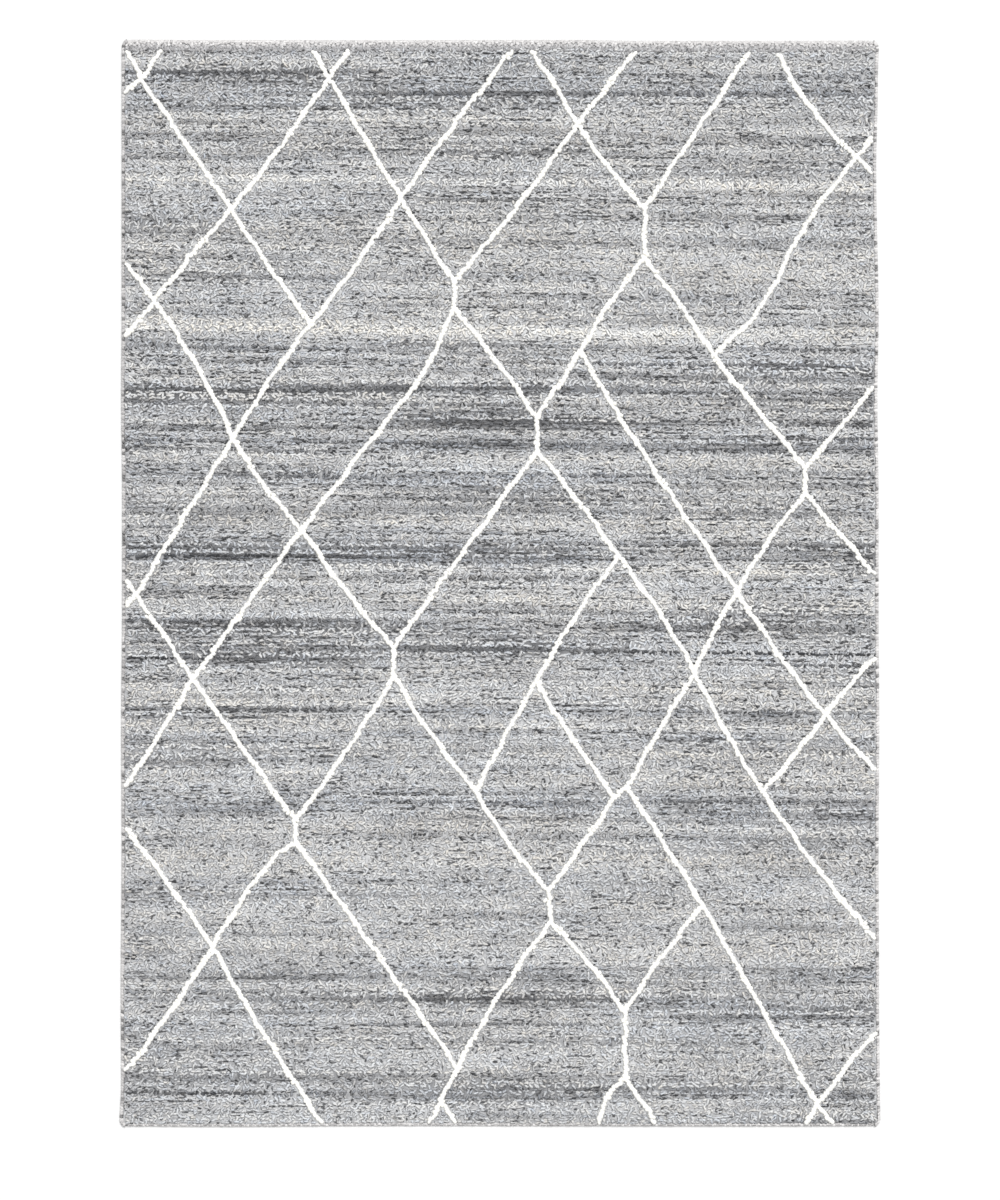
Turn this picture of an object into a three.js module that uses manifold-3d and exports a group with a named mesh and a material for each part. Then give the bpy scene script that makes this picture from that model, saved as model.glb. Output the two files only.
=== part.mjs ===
// A wool rug, 1.6 by 2.3 m, lying flat with its pile up. Units are millimetres.
// +X runs across the rug, +Y along it and +Z up, and the origin is on the floor
// under the rug's middle.

import * as THREE from "three";
import { mergeVertices } from "three/addons/utils/BufferGeometryUtils.js";
import Module from "manifold-3d";

const wasm = await Module();
wasm.setup();

// Driving dimensions
const RUG_WIDTH = 1600;
const RUG_LENGTH = 2300;
const PILE_HEIGHT = 12;
const CORNER_RADIUS = 16;
const CORNER_STEPS = 4;
const SIDE_SPANS = 24;
const END_SPANS = 14;

// Ivory lines: tufted higher than the ground around them
const LINE_WIDTH = 13;
const LINE_RISE = 3;
const LINE_SHOULDER_RISE = 2;
const LINE_SHOULDER_WIDTH = 9;
const LINE_ROOT_DEPTH = 3;
const LINE_STEP = 40;
const LINE_TIP_REACH = 3;
const LINE_TIP_WIDTH_SCALE = 0.55;
const LINE_TIP_RISE_SCALE = 0.75;
const LINE_WOBBLE = 1.4;
const LINE_WOBBLE_LENGTH = 95;
const LINE_SWELL = 0.08;
const LINE_UNDER_DROP = 0.4;

// Overcast edge sewn along each long side
const BINDING_WIDTH = 5.5;
const BINDING_HEIGHT = 8.5;
const BINDING_FOOT_WIDTH = 3;
const BINDING_SHOULDER = 2;
const PIECE_GAP = 0.3;

const PANEL_WIDTH = RUG_WIDTH - 2 * (BINDING_WIDTH + PIECE_GAP);

// Edge of the panel from the floor up to the flat of the pile. In is how far a ring lies
// inside the outline and up is its height, on the long sides, on the far end (+Y), where a
// wide strip of cloth is turned and lies low, and on the near end (-Y), where it is narrow.
const EDGE_RINGS = [
  { sideIn: 2.5, sideUp: 0, farIn: 2.5, farUp: 0, nearIn: 2.5, nearUp: 0 },
  { sideIn: 0, sideUp: 3, farIn: 0, farUp: 2.5, nearIn: 0, nearUp: 2.5 },
  { sideIn: 0, sideUp: 8, farIn: 0.5, farUp: 5.5, nearIn: 0.5, nearUp: 5.5 },
  { sideIn: 1.5, sideUp: 10.8, farIn: 2.5, farUp: 7.5, nearIn: 2, nearUp: 7.5 },
  { sideIn: 4, sideUp: 11.8, farIn: 12, farUp: 9, nearIn: 5, nearUp: 9 },
  { sideIn: 8, sideUp: PILE_HEIGHT, farIn: 22, farUp: PILE_HEIGHT, nearIn: 9, nearUp: PILE_HEIGHT },
];

// How far each long side strays outwards from straight, at places along the rug
const SIDE_STRAYS = [
  { along: -1150, left: 5, right: 5 },
  { along: -1060, left: 1, right: 3 },
  { along: -890, left: 2, right: 2 },
  { along: -560, left: 0, right: 1 },
  { along: -300, left: 1, right: 2 },
  { along: -50, left: -1, right: 0 },
  { along: 180, left: -1, right: 0 },
  { along: 400, left: 1, right: -3 },
  { along: 560, left: 0, right: 0 },
  { along: 880, left: 0, right: -5 },
  { along: 1060, left: 0, right: -2 },
  { along: 1150, left: 0, right: 1 },
];

// How far each end strays outwards, at places across the rug
const END_STRAYS = [
  { across: -800, far: 0, near: 0 },
  { across: -600, far: 1, near: 1 },
  { across: -200, far: 0.5, near: -1 },
  { across: 150, far: 1, near: -0.5 },
  { across: 290, far: -1, near: 0 },
  { across: 600, far: -1, near: 0 },
  { across: 800, far: 0, near: -0.5 },
];

// Places that the ivory lines start from, meet at and cross at: [across, along].
// t is the far end, b the near end, l and r the sides, c a crossing, k a knee.
const PLACES = {
  t1: [-787, 1122], t2: [-717, 1123], t3: [-393, 1123], t4: [-319, 1123], t5: [26, 1123],
  t6: [70, 1123], t7: [284, 1123], t8: [524, 1121], t9: [592, 1119],
  l1: [-788, 1046], l2: [-788, 671], l3: [-788, 529], l4: [-788, 3], l5: [-788, -41],
  l6: [-788, -423], l7: [-788, -517], l8: [-788, -1028],
  r1: [787, 945], r2: [787, 875], r3: [788, 415], r4: [788, 26], r5: [788, -158],
  r6: [788, -390], r7: [788, -746], r8: [788, -949],
  b1: [-376, -1133], b2: [-145, -1133], b3: [-96, -1133], b4: [208, -1133],
  b5: [325, -1133], b6: [647, -1133], b7: [701, -1133],
  c1: [-758, 1070], c2: [-360, 1074], c3: [165, 974], c4: [759, 905], c5: [-208, 818],
  c6: [308, 799], c7: [-567, 795], c8: [306, 691], c9: [-96, 642], c10: [-730, 602],
  c11: [-95, 587], c12: [-398, 553], c13: [171, 494], c14: [454, 487], c15: [79, 354],
  c16: [-563, 312], c17: [80, 284], c18: [647, 250], c19: [647, 195], c20: [-419, 119],
  c21: [249, 61], c22: [501, -12], c23: [-770, -20], c24: [-225, -131], c25: [414, -184],
  c26: [-222, -192], c27: [-648, -198], c28: [78, -205], c29: [685, -275],
  c30: [268, -427], c31: [558, -435], c32: [-46, -436], c33: [243, -450],
  c34: [-430, -499], c35: [-430, -545], c36: [104, -649], c37: [429, -679],
  c38: [107, -715], c39: [-605, -766], c40: [266, -905], c41: [-87, -1024],
  c42: [266, -1041], c43: [-123, -1092], c44: [672, -1096],
  k1: [583, 640], k2: [533, 564], k3: [-158, 450], k4: [-470, -569],
};

// Each ivory line, as the places that it runs through
const LINES = [
  "t1 c1 c7 c12", "t2 c1 l1", "t3 c2 c5 c9", "t4 c2 c7 c10 l3",
  "t5 c5 c12 c16 c23 l5", "t6 c3 c6", "t7 c3 c9", "t8 c6", "t9 c4 r2",
  "r1 c4 k1 k2 c14", "c6 c8 c14 c18", "c8 c13 c15", "c9 c11 c15 c17",
  "c11 k3 c20 c27 l6", "l2 c10 c16 c20 c24", "r3 c18 c19 r4", "c13 c22 c29 r6",
  "c17 c21 c25 c31 r7", "c17 c24 c26 c34", "c19 c22 c25 c30 c33 c36",
  "c21 c28 c32", "c28 c33", "c26 c32 c36 c38", "l4 c23 c27 c34 c35",
  "c35 k4 c39 l8", "c35 c41", "l7 c39 b1", "c38 c41 c43 b2", "c43 b3",
  "c38 c40 c42 b4", "c42 b5", "c30 c37 c44 b7", "c37 c40", "r5 c29 c31", "r8 c44 b6",
];

// Stretches that bow: how far the middle lies to the right (+X) of straight
const BOWS = {
  "c7 c12": -5, "c2 c7": 5, "c7 c10": -4, "t5 c5": -9, "c5 c12": 5, "c12 c16": -6, "c3 c9": 6,
  "t6 c3": 3, "c3 c6": -10, "t8 c6": 4, "t9 c4": -16, "c4 k1": -14, "c8 c14": 8,
  "c8 c13": -8, "c17 c24": -2, "c26 c34": 7, "k4 c39": -8, "c11 k3": 4, "c20 c27": -4,
  "c10 c16": 11, "c16 c20": -10, "c20 c24": -7, "r3 c18": 6, "c13 c22": -4, "c22 c29": -6,
  "c17 c21": 4, "c21 c25": 8, "c25 c31": -4, "c31 r7": -8, "c19 c22": -5, "c22 c25": -3,
  "c33 c36": -2, "c21 c28": -8, "c28 c32": -6, "c28 c33": -5, "c26 c32": -9, "c32 c36": -8,
  "c35 c41": 5, "c39 b1": -8, "c39 l8": 5, "c38 c41": -9, "c43 b3": 3, "c38 c40": 10,
  "c42 b4": -10, "c42 b5": 4, "c30 c37": 2, "c37 c44": -2, "c37 c40": -5, "c29 c31": 6,
};

const wool = new THREE.MeshStandardMaterial({ color: "#aeb0b1", roughness: 0.95, metalness: 0 });
const overcast = new THREE.MeshStandardMaterial({ color: "#d6d3ce", roughness: 0.9, metalness: 0 });

// A value from a table's column at a place, eased smoothly from row to row
function tableValue(table, placeColumn, place, column) {
  const last = table.length - 1;
  if (place <= table[0][placeColumn]) return table[0][column];
  if (place >= table[last][placeColumn]) return table[last][column];
  const next = table.findIndex((row) => row[placeColumn] > place);
  const before = table[next - 1];
  const after = table[next];
  const span = after[placeColumn] - before[placeColumn];
  const eased = THREE.MathUtils.smoothstep((place - before[placeColumn]) / span, 0, 1);
  return THREE.MathUtils.lerp(before[column], after[column], eased);
}

// A place on the straight-sided plan, moved to where the uneven rug has it
function strayed(x, y) {
  const side = tableValue(SIDE_STRAYS, "along", y, x < 0 ? "left" : "right");
  const end = tableValue(END_STRAYS, "across", x, y < 0 ? "near" : "far");
  return new THREE.Vector2(x * (1 + side / (RUG_WIDTH / 2)), y * (1 + end / (RUG_LENGTH / 2)));
}

// One corner's arc, from one angle to the next, endpoints included. Blend is 0 where the
// arc meets a long side and 1 where it meets an end.
function cornerArc(centreX, centreY, radius, fromDegrees) {
  const points = [];
  for (let step = 0; step <= CORNER_STEPS; step++) {
    const angle = THREE.MathUtils.degToRad(fromDegrees + (90 * step) / CORNER_STEPS);
    points.push({
      x: centreX + radius * Math.cos(angle),
      y: centreY + radius * Math.sin(angle),
      blend: Math.sin(angle) ** 2,
    });
  }
  return points;
}

// Points between two corners of the outline, neither end included
function straightRun(from, to, spans) {
  const points = [];
  for (let step = 1; step < spans; step++) {
    points.push({
      x: THREE.MathUtils.lerp(from.x, to.x, step / spans),
      y: THREE.MathUtils.lerp(from.y, to.y, step / spans),
      blend: from.blend,
    });
  }
  return points;
}

// A rounded rectangle, anticlockwise seen from above, starting at the near right corner
function roundedPlan(halfWidth, farY, nearY, radius) {
  const right = halfWidth - radius;
  const arcs = [
    cornerArc(right, nearY + radius, radius, 270),
    cornerArc(right, farY - radius, radius, 0),
    cornerArc(-right, farY - radius, radius, 90),
    cornerArc(-right, nearY + radius, radius, 180),
  ];
  const spans = [SIDE_SPANS, END_SPANS, SIDE_SPANS, END_SPANS];
  return arcs.flatMap((arc, index) => {
    const nextArc = arcs[(index + 1) % arcs.length];
    return [...arc, ...straightRun(arc[arc.length - 1], nextArc[0], spans[index])];
  });
}

// A closed skin over rings of points that all have the same count, with flat caps. Each
// ring runs anticlockwise seen from the next one.
function ringedGeometry(rings) {
  const count = rings[0].length;
  const positions = rings.flat().flatMap((point) => [point.x, point.y, point.z]);
  const triangles = [];
  for (let low = 0; low < positions.length / 3 - count; low += count) {
    const high = low + count;
    for (let index = 0; index < count; index++) {
      const next = (index + 1) % count;
      triangles.push(low + index, low + next, high + next, low + index, high + next, high + index);
    }
  }
  const top = (rings.length - 1) * count;
  const capOf = (ring) => THREE.ShapeUtils.triangulateShape(flattened(ring), []);
  for (const [a, b, c] of capOf(rings[0])) {
    triangles.push(a, c, b);
  }
  for (const [a, b, c] of capOf(rings[rings.length - 1])) {
    triangles.push(top + a, top + b, top + c);
  }
  const geometry = new THREE.BufferGeometry();
  geometry.setAttribute("position", new THREE.Float32BufferAttribute(positions, 3));
  geometry.setIndex(triangles);
  return geometry;
}

// A ring's points on the plane that it spreads in, for cutting its cap into triangles
function flattened(ring) {
  const origin = ring[0];
  const along = new THREE.Vector3().subVectors(ring[1], origin).normalize();
  const normal = new THREE.Vector3();
  ring.forEach((point, index) => {
    normal.add(new THREE.Vector3().crossVectors(point, ring[(index + 1) % ring.length]));
  });
  const across = new THREE.Vector3().crossVectors(normal.normalize(), along);
  return ring.map((point) => {
    const offset = new THREE.Vector3().subVectors(point, origin);
    return new THREE.Vector2(offset.dot(along), offset.dot(across));
  });
}

function toManifold(geometry) {
  const bare = new THREE.BufferGeometry();
  bare.setAttribute("position", geometry.getAttribute("position"));
  bare.setIndex(geometry.getIndex());
  const welded = mergeVertices(bare, 1e-4);
  return new wasm.Manifold(
    new wasm.Mesh({
      numProp: 3,
      vertProperties: new Float32Array(welded.getAttribute("position").array),
      triVerts: new Uint32Array(welded.getIndex().array),
    }),
  );
}

function toGeometry(manifold) {
  const mesh = manifold.getMesh();
  const geometry = new THREE.BufferGeometry();
  geometry.setAttribute("position", new THREE.BufferAttribute(mesh.vertProperties, 3));
  geometry.setIndex(new THREE.BufferAttribute(mesh.triVerts, 1));
  return geometry;
}

// The panel without its ivory lines: turned ends, rounded long edges and a flat pile
function groundGeometry() {
  const rings = EDGE_RINGS.map((row) => {
    const farY = RUG_LENGTH / 2 - row.farIn;
    const nearY = -RUG_LENGTH / 2 + row.nearIn;
    const radius = Math.max(CORNER_RADIUS - row.sideIn, CORNER_RADIUS / 2);
    return roundedPlan(PANEL_WIDTH / 2 - row.sideIn, farY, nearY, radius).map((point) => {
      const endUp = point.y > 0 ? row.farUp : row.nearUp;
      const place = strayed(point.x, point.y);
      return new THREE.Vector3(place.x, place.y, THREE.MathUtils.lerp(row.sideUp, endUp, point.blend));
    });
  });
  return ringedGeometry(rings);
}

// The middle of one stretch of ivory, from place to place, its far end left out
function stretchPoints(from, to) {
  const [startX, startY] = PLACES[from];
  const [endX, endY] = PLACES[to];
  const bow = BOWS[`${from} ${to}`] ?? 0;
  const start = new THREE.Vector2(startX, startY);
  const end = new THREE.Vector2(endX, endY);
  const pull = start.clone().lerp(end, 0.5).add(new THREE.Vector2(2 * bow, 0));
  const curve = new THREE.QuadraticBezierCurve(start, pull, end);
  const steps = Math.max(1, Math.round(curve.getLength() / LINE_STEP));
  return curve.getPoints(steps).slice(0, -1);
}

// Stations along one ivory line, each with its heading, and a wave that sways and swells it
function lineStations(line) {
  const names = line.split(" ");
  const middle = names.slice(1).flatMap((name, index) => stretchPoints(names[index], name));
  middle.push(new THREE.Vector2(...PLACES[names[names.length - 1]]));
  const last = middle.length - 1;
  return middle.map((point, index) => {
    const before = middle[Math.max(index - 1, 0)];
    const after = middle[Math.min(index + 1, last)];
    const heading = after.clone().sub(before).normalize();
    const wave = Math.sin((2 * Math.PI * point.y) / LINE_WOBBLE_LENGTH + point.x);
    const sway = index === 0 || index === last ? 0 : LINE_WOBBLE * wave;
    const place = strayed(point.x - heading.y * sway, point.y + heading.x * sway);
    return { place, heading, wave };
  });
}

// One ring round an ivory line: a rounded crown above the pile and a root in it. A line
// that passes under others lies lower by the drop.
function lineRing(station, isTip, drop) {
  const widthScale = (isTip ? LINE_TIP_WIDTH_SCALE : 1) * (1 + LINE_SWELL * station.wave);
  const riseScale = isTip ? LINE_TIP_RISE_SCALE : 1;
  const section = [
    { out: 0.5 * LINE_WIDTH, up: -LINE_ROOT_DEPTH },
    { out: 0.5 * LINE_WIDTH, up: 0 },
    { out: 0.5 * LINE_SHOULDER_WIDTH, up: LINE_SHOULDER_RISE },
    { out: 0, up: LINE_RISE },
    { out: -0.5 * LINE_SHOULDER_WIDTH, up: LINE_SHOULDER_RISE },
    { out: -0.5 * LINE_WIDTH, up: 0 },
    { out: -0.5 * LINE_WIDTH, up: -LINE_ROOT_DEPTH },
  ];
  return section.map(({ out, up }) => {
    const rise = up > 0 ? up * riseScale - drop : up;
    return new THREE.Vector3(
      station.place.x - station.heading.y * out * widthScale,
      station.place.y + station.heading.x * out * widthScale,
      PILE_HEIGHT + rise,
    );
  });
}

// One ivory line as a solid, its two tips narrowed and reaching a little further. Lines
// that run to the right as they come down the rug pass under the others.
function lineGeometry(line) {
  const stations = lineStations(line);
  const first = stations[0];
  const last = stations[stations.length - 1];
  const drop = last.place.x > first.place.x ? LINE_UNDER_DROP : 0;
  const tip = (station, direction) => ({
    ...station,
    place: station.place.clone().addScaledVector(station.heading, direction * LINE_TIP_REACH),
  });
  return ringedGeometry([
    lineRing(tip(first, -1), true, drop),
    ...stations.map((station) => lineRing(station, false, drop)),
    lineRing(tip(last, 1), true, drop),
  ]);
}

function panelGeometry() {
  const ivory = LINES.map(lineGeometry).map(toManifold).reduce((joined, line) => joined.add(line));
  return toGeometry(toManifold(groundGeometry()).add(ivory));
}

// The overcast edge of one long side, which turns half round each corner
function bindingGeometry(side) {
  const reach = PIECE_GAP + BINDING_WIDTH / 2;
  const plan = roundedPlan(
    PANEL_WIDTH / 2 + reach,
    RUG_LENGTH / 2 + reach,
    -RUG_LENGTH / 2 - reach,
    CORNER_RADIUS + reach,
  );
  const firstStep = CORNER_STEPS / 2;
  const lastStep = CORNER_STEPS + SIDE_SPANS + CORNER_STEPS / 2;
  const run = plan.slice(firstStep, lastStep + 1);
  const halfTop = BINDING_WIDTH / 2;
  const section = [
    { out: BINDING_FOOT_WIDTH / 2, up: 0 },
    { out: halfTop, up: BINDING_SHOULDER },
    { out: halfTop, up: BINDING_HEIGHT - BINDING_SHOULDER },
    { out: halfTop / 2, up: BINDING_HEIGHT },
    { out: -halfTop / 2, up: BINDING_HEIGHT },
    { out: -halfTop, up: BINDING_HEIGHT - BINDING_SHOULDER },
    { out: -halfTop, up: BINDING_SHOULDER },
    { out: -BINDING_FOOT_WIDTH / 2, up: 0 },
  ];
  const rings = run.map((point, index) => {
    const before = run[Math.max(index - 1, 0)];
    const after = run[Math.min(index + 1, run.length - 1)];
    const heading = new THREE.Vector2(after.x - before.x, after.y - before.y).normalize();
    return section.map(({ out, up }) => {
      const place = strayed(side * (point.x + heading.y * out), point.y - heading.x * out);
      return new THREE.Vector3(place.x, place.y, up);
    });
  });
  return ringedGeometry(side > 0 ? rings.reverse() : rings);
}

function piece(name, geometry, material) {
  const mesh = new THREE.Mesh(geometry, material);
  mesh.name = name;
  return mesh;
}

const rug = new THREE.Group();
rug.name = "wool_rug";
rug.add(piece("tufted_panel", panelGeometry(), wool));
rug.add(piece("side_binding_left", bindingGeometry(-1), overcast));
rug.add(piece("side_binding_right", bindingGeometry(1), overcast));

export default rug;
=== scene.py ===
"""A hand-tufted wool rug, 1.60 by 2.30 m: grey looped pile in bands, with a raised ivory lattice.

Sizes and places are in millimetres and become metres where a mesh is made. Along the rug, plus is
towards its far end. The outline lies within 5 mm of the part's own and the lattice within about 12.
"""

import bpy
import numpy as np
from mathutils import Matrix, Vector
from mathutils.kdtree import KDTree

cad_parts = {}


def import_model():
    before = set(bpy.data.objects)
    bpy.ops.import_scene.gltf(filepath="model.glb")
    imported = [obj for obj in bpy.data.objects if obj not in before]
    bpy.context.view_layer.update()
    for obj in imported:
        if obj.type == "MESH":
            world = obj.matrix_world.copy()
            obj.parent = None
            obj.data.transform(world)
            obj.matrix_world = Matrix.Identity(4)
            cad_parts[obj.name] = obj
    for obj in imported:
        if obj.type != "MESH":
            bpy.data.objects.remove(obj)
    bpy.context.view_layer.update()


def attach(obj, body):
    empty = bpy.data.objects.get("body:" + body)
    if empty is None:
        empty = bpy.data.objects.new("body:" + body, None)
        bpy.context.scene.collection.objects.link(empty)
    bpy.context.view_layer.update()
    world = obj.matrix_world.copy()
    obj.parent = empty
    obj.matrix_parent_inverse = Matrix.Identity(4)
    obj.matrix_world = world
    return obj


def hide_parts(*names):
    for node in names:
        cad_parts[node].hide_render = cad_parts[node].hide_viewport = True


MM = 0.001

# The rug's plan
RUG_WIDTH = 1600
RUG_LENGTH = 2300
BINDING_WIDTH = 5.5
PIECE_GAP = 0.3
PANEL_HALF_WIDTH = RUG_WIDTH / 2 - BINDING_WIDTH - PIECE_GAP
HALF_LENGTH = RUG_LENGTH / 2
CORNER_RADIUS = 16
PILE_HEIGHT = 12
EDGE_MARGIN = 3.4

# How far the outline strays outwards from straight, by the place along or across the rug
SIDE_STRAYS = {
    "along": (-1150, -1060, -890, -560, -300, -50, 180, 400, 560, 880, 1060, 1150),
    "left": (5, 1, 2, 0, 1, -1, -1, 1, 0, 0, 0, 0),
    "right": (8, 6.5, 5, 4, 5.5, 4, 4, 1.5, 4, -1, 2.5, 4.5),
}
END_STRAYS = {
    "across": (-800, -600, -200, 150, 290, 600, 800),
    "far": (3, 2, 2, 2.5, 0.5, 0.5, 1),
    "near": (-3, -2, -4, -3.5, -3, -3, -3.5),
}

# The height of the pile's top by the distance from a long side, the far end and the near end
SIDE_PROFILE = {"inside": (0, 1.5, 4, 8), "up": (8, 10.8, 11.8, PILE_HEIGHT)}
FAR_PROFILE = {"inside": (0, 2.5, 12, 22), "up": (5.5, 7.5, 9, PILE_HEIGHT)}
NEAR_PROFILE = {"inside": (0, 2, 5, 9), "up": (5.5, 7.5, 9, PILE_HEIGHT)}

# The cloth under the loops, painted darker than them as shade deep between the loops
CLOTH_SINK = 2.4
CLOTH_CELL = 24
# How much darker the cloth is painted than the loops: painted shade deep between them
CLOTH_SHADE_TONE = -3.5
FOOT_INSET = 2.5
FOOT_HEIGHT = 3

# The looped pile: short curved loops in loose rows across the rug
ROW_PITCH = 5.9
ROW_JITTER = 1.8
LOOP_PITCH = 10.0
LOOP_LENGTH = (12, 18)
LOOP_WIDTH = (5.2, 7.0)
LOOP_THICKNESS = 1.9
LOOP_RISE = 2.0
LOOP_SHARES = (-0.5, -0.27, 0.27, 0.5)
TIP_DROPS = (LOOP_RISE, 0, 0, LOOP_RISE)
LOOP_TONE_SPREAD = 0.7
LOOP_SWING = 0.62
LOOP_TURN = (0.2, 2.4)
STRAY_LOOPS = 0.26
EDGE_FLECKS = {"left": 0.05, "right": 0.16}
EDGE_FLECKS_WIDTH = 14
ROW_TONE = 1.4
MOST_ROW_TONE = 0.6
FLECKS = {"share": (0.08, 0.015), "tone": (-13, 4), "size": (0.6, 0.55), "lift": (0.8, 0.5)}
MISSED_LOOPS = 0.02
PILE_PIECES = ("pile_near", "pile_lower", "pile_upper", "pile_far")

# Dark knots of yarn where rows of the pile part: their darkness is painted shade of the gap between the
# rows
PARTING_WIDTH = 4.0
KNOT_PITCH = 8
KNOT_LENGTH = (8, 17)
KNOT_WIDTH = (2.6, 4.6)
KNOT_SHADE_TONE = (-20, -10)
MISSED_KNOTS = 0.25
KNOT_HALF_HEIGHT = 1.2

# The ivory lines, tufted a little higher
LINE_WIDTH = 13
LINE_TOP = 15
LINE_UNDER_DROP = 0.8
LINE_CLEARANCE = 0.5
LINE_WOBBLE = 1.4
LINE_WOBBLE_LENGTH = 95
TUFT_PITCH = 4.6
TUFT_LENGTH = (10, 15)
TUFT_WIDTH = (6.8, 11.2)
TUFT_HALF_HEIGHT = 2.8
TUFT_OFFSET = 1.3
TUFT_TWIST = 0.2
LINE_LEAN = 3

# The overcast side bindings: stitches over a cord, each seen from the rug outwards
BINDING_HEIGHT = 8.5
STITCH_PITCH = 6.2
STITCH_JITTER = 1.1
STITCH_SECTION = {
    "out": (-4.9, -2.6, -0.4, 1.6, 2.1, 1.2),
    "up": (8.9, 9.0, 8.2, 6.0, 3.2, 1.0),
    "half_width": (3.0, 4.2, 5.0, 5.4, 5.4, 4.6),
    "uneven": (1.6, 0.6, 0, 0, 0, 0),
}
STITCH_HALF_THICKNESS = 0.7
STITCH_SLANT = (-2, 4)
# Each binding's stitch tone; the left one is lower, painted shade on the side away from the light
STITCH_TONE_WITH_SHADE = {"left": -2.6, "right": -1.7}
# A share of stitches, narrower and darker: painted shade in the gaps between stitches
SHADED_STITCHES = {"share": 0.15, "tone": -5.5, "width": 0.7}
CORD_TONE = -5
CORD_STEP = 15
CORD_HALF_WIDTH = 1.7
CORD_HALF_HEIGHT = 3.4

# The turned ends: a rolled hem with short loops of the backing yarn over it
FAR_STRIP = 17
NEAR_STRIP = 8
HEM_INSET = 2.7
HEM_STEP = 5
HEM_HALF_WIDTH = 4.0
HEM_HALF_HEIGHT = 3.3
HEM_MIDDLE = 3.6
STRIP_ROW_PITCH = 4.6
STRIP_LOOP_PITCH = 6.5
STRIP_LOOP_LENGTH = (7, 12)
STRIP_LOOP_WIDTH = (5.4, 7.4)
STRIP_HALF_HEIGHT = 0.9
STRIP_SWING = {"inside": (3, 11), "swing": (0.3, 1.5)}
STRIP_DARKENING = {"inside": (2, 9, 14, 22), "tone": (0, -0.6, -2.2, -5)}
STRIP_COOLING = {"inside": (8, 18), "warmth": (0, -2.5)}
STRIP_TONE_SPREAD = 1.0

# Each end's side, how far in its small loops reach, and the tones of its loops and of its hem
ENDS = {
    "far": (1, FAR_STRIP + 6, -1, -2),
    "near": (-1, NEAR_STRIP - 2, -2, -0.5),
}

# Where ivory lines start, meet, cross or bend, across and along the rug
PLACES = {
    "t1": (-787, 1126), "t2": (-717, 1128), "t3": (-393, 1127), "t4": (-319, 1128), "t5": (26, 1128),
    "t6": (70, 1127), "t7": (284, 1127), "t8": (524, 1125), "t9": (589, 1123),
    "l1": (-789, 1042), "l2": (-789, 676), "l3": (-788, 529), "l4": (-789, 7), "l5": (-788, -41),
    "l6": (-788, -423), "l7": (-788, -517), "l8": (-788, -1028),
    "r1": (787, 945), "r2": (787, 875), "r3": (788, 418), "r4": (788, 26), "r5": (788, -154),
    "r6": (788, -390), "r7": (788, -746), "r8": (788, -949),
    "b1": (-376, -1138), "b2": (-145, -1138), "b3": (-96, -1138), "b4": (208, -1138),
    "b5": (325, -1138), "b6": (644, -1138), "b7": (698, -1138),
    "c1": (-758, 1070), "c2": (-360, 1074), "c3": (165, 974), "c4": (759, 905), "c5": (-208, 818),
    "c6": (308, 799), "c7": (-567, 795), "c8": (306, 691), "c9": (-96, 642), "c10": (-730, 602),
    "c11": (-95, 587), "c12": (-398, 553), "c13": (171, 494), "c14": (451, 486), "c15": (79, 354),
    "c16": (-563, 312), "c17": (80, 284), "c18": (645, 250), "c19": (644, 195), "c20": (-419, 119),
    "c21": (251, 62), "c22": (501, -12), "c23": (-770, -20), "c24": (-225, -131), "c25": (411, -185),
    "c26": (-222, -192), "c27": (-648, -198), "c28": (78, -205), "c29": (685, -275),
    "c30": (268, -427), "c31": (554, -437), "c32": (-49, -438), "c33": (243, -450),
    "c34": (-432, -499), "c35": (-430, -545), "c36": (104, -649), "c37": (429, -679),
    "c38": (107, -715), "c39": (-605, -766), "c40": (264, -905), "c41": (-89, -1025),
    "c42": (264, -1041), "c43": (-123, -1092), "c44": (667, -1103),
    "k1": (583, 640), "k2": (533, 564), "k3": (-158, 450), "k4": (-470, -569),
}

# Each ivory line, from place to place
LINES = (
    "t1 c1 c7 c12", "t2 c1 l1", "t3 c2 c5 c9", "t4 c2 c7 c10 l3", "t5 c5 c12 c16 c23 l5",
    "t6 c3 c6", "t7 c3 c9", "t8 c6", "t9 c4 r2", "r1 c4 k1 k2 c14", "c6 c8 c14 c18", "c8 c13 c15",
    "c9 c11 c15 c17", "c11 k3 c20 c27 l6", "l2 c10 c16 c20 c24", "r3 c18 c19 r4", "c13 c22 c29 r6",
    "c17 c21 c25 c31 r7", "c17 c24 c26 c34", "c19 c22 c25 c30 c33 c36", "c21 c28 c32", "c28 c33",
    "c26 c32 c36 c38", "l4 c23 c27 c34 c35", "c35 k4 c39 l8", "c35 c41", "l7 c39 b1",
    "c38 c41 c43 b2", "c43 b3", "c38 c40 c42 b4", "c42 b5", "c30 c37 c44 b7", "c37 c40",
    "r5 c29 c31", "r8 c44 b6",
)

# How far the middle of a stretch of line lies to the right of straight
BOWS = {
    "c7 c12": -5, "c2 c7": 5, "c7 c10": -2, "t5 c5": -6, "c5 c12": 5, "c12 c16": -6, "c3 c9": 9,
    "c2 c5": -2, "c5 c9": -2, "t6 c3": 3, "c3 c6": -7, "t8 c6": 1, "t9 c4": -19, "c4 k1": -17,
    "c8 c14": 6, "c8 c13": -8, "c11 c15": 4, "c26 c34": 7, "k4 c39": -8, "c11 k3": 1,
    "c20 c27": -1, "c27 l6": 3, "c10 c16": 11, "c16 c20": -10, "c20 c24": -7, "r3 c18": 2,
    "c13 c22": -7, "c22 c29": -6, "c17 c21": 4, "c21 c25": 8, "c25 c31": -6, "c31 r7": -8,
    "c19 c22": -8, "c22 c25": -5, "c25 c30": -2, "c33 c36": 1, "c21 c28": -8, "c28 c32": -3,
    "c28 c33": -5, "c26 c32": -9, "c32 c36": -10, "c35 c41": 4, "l7 c39": 3, "c39 b1": -6,
    "c39 l8": 6, "c38 c41": -9, "c43 b3": 3, "c38 c40": 10, "c42 b4": -10, "c42 b5": 1,
    "c30 c37": 2, "c37 c40": -8, "r5 c29": -3, "c29 c31": 3, "r8 c44": -3,
}

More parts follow.
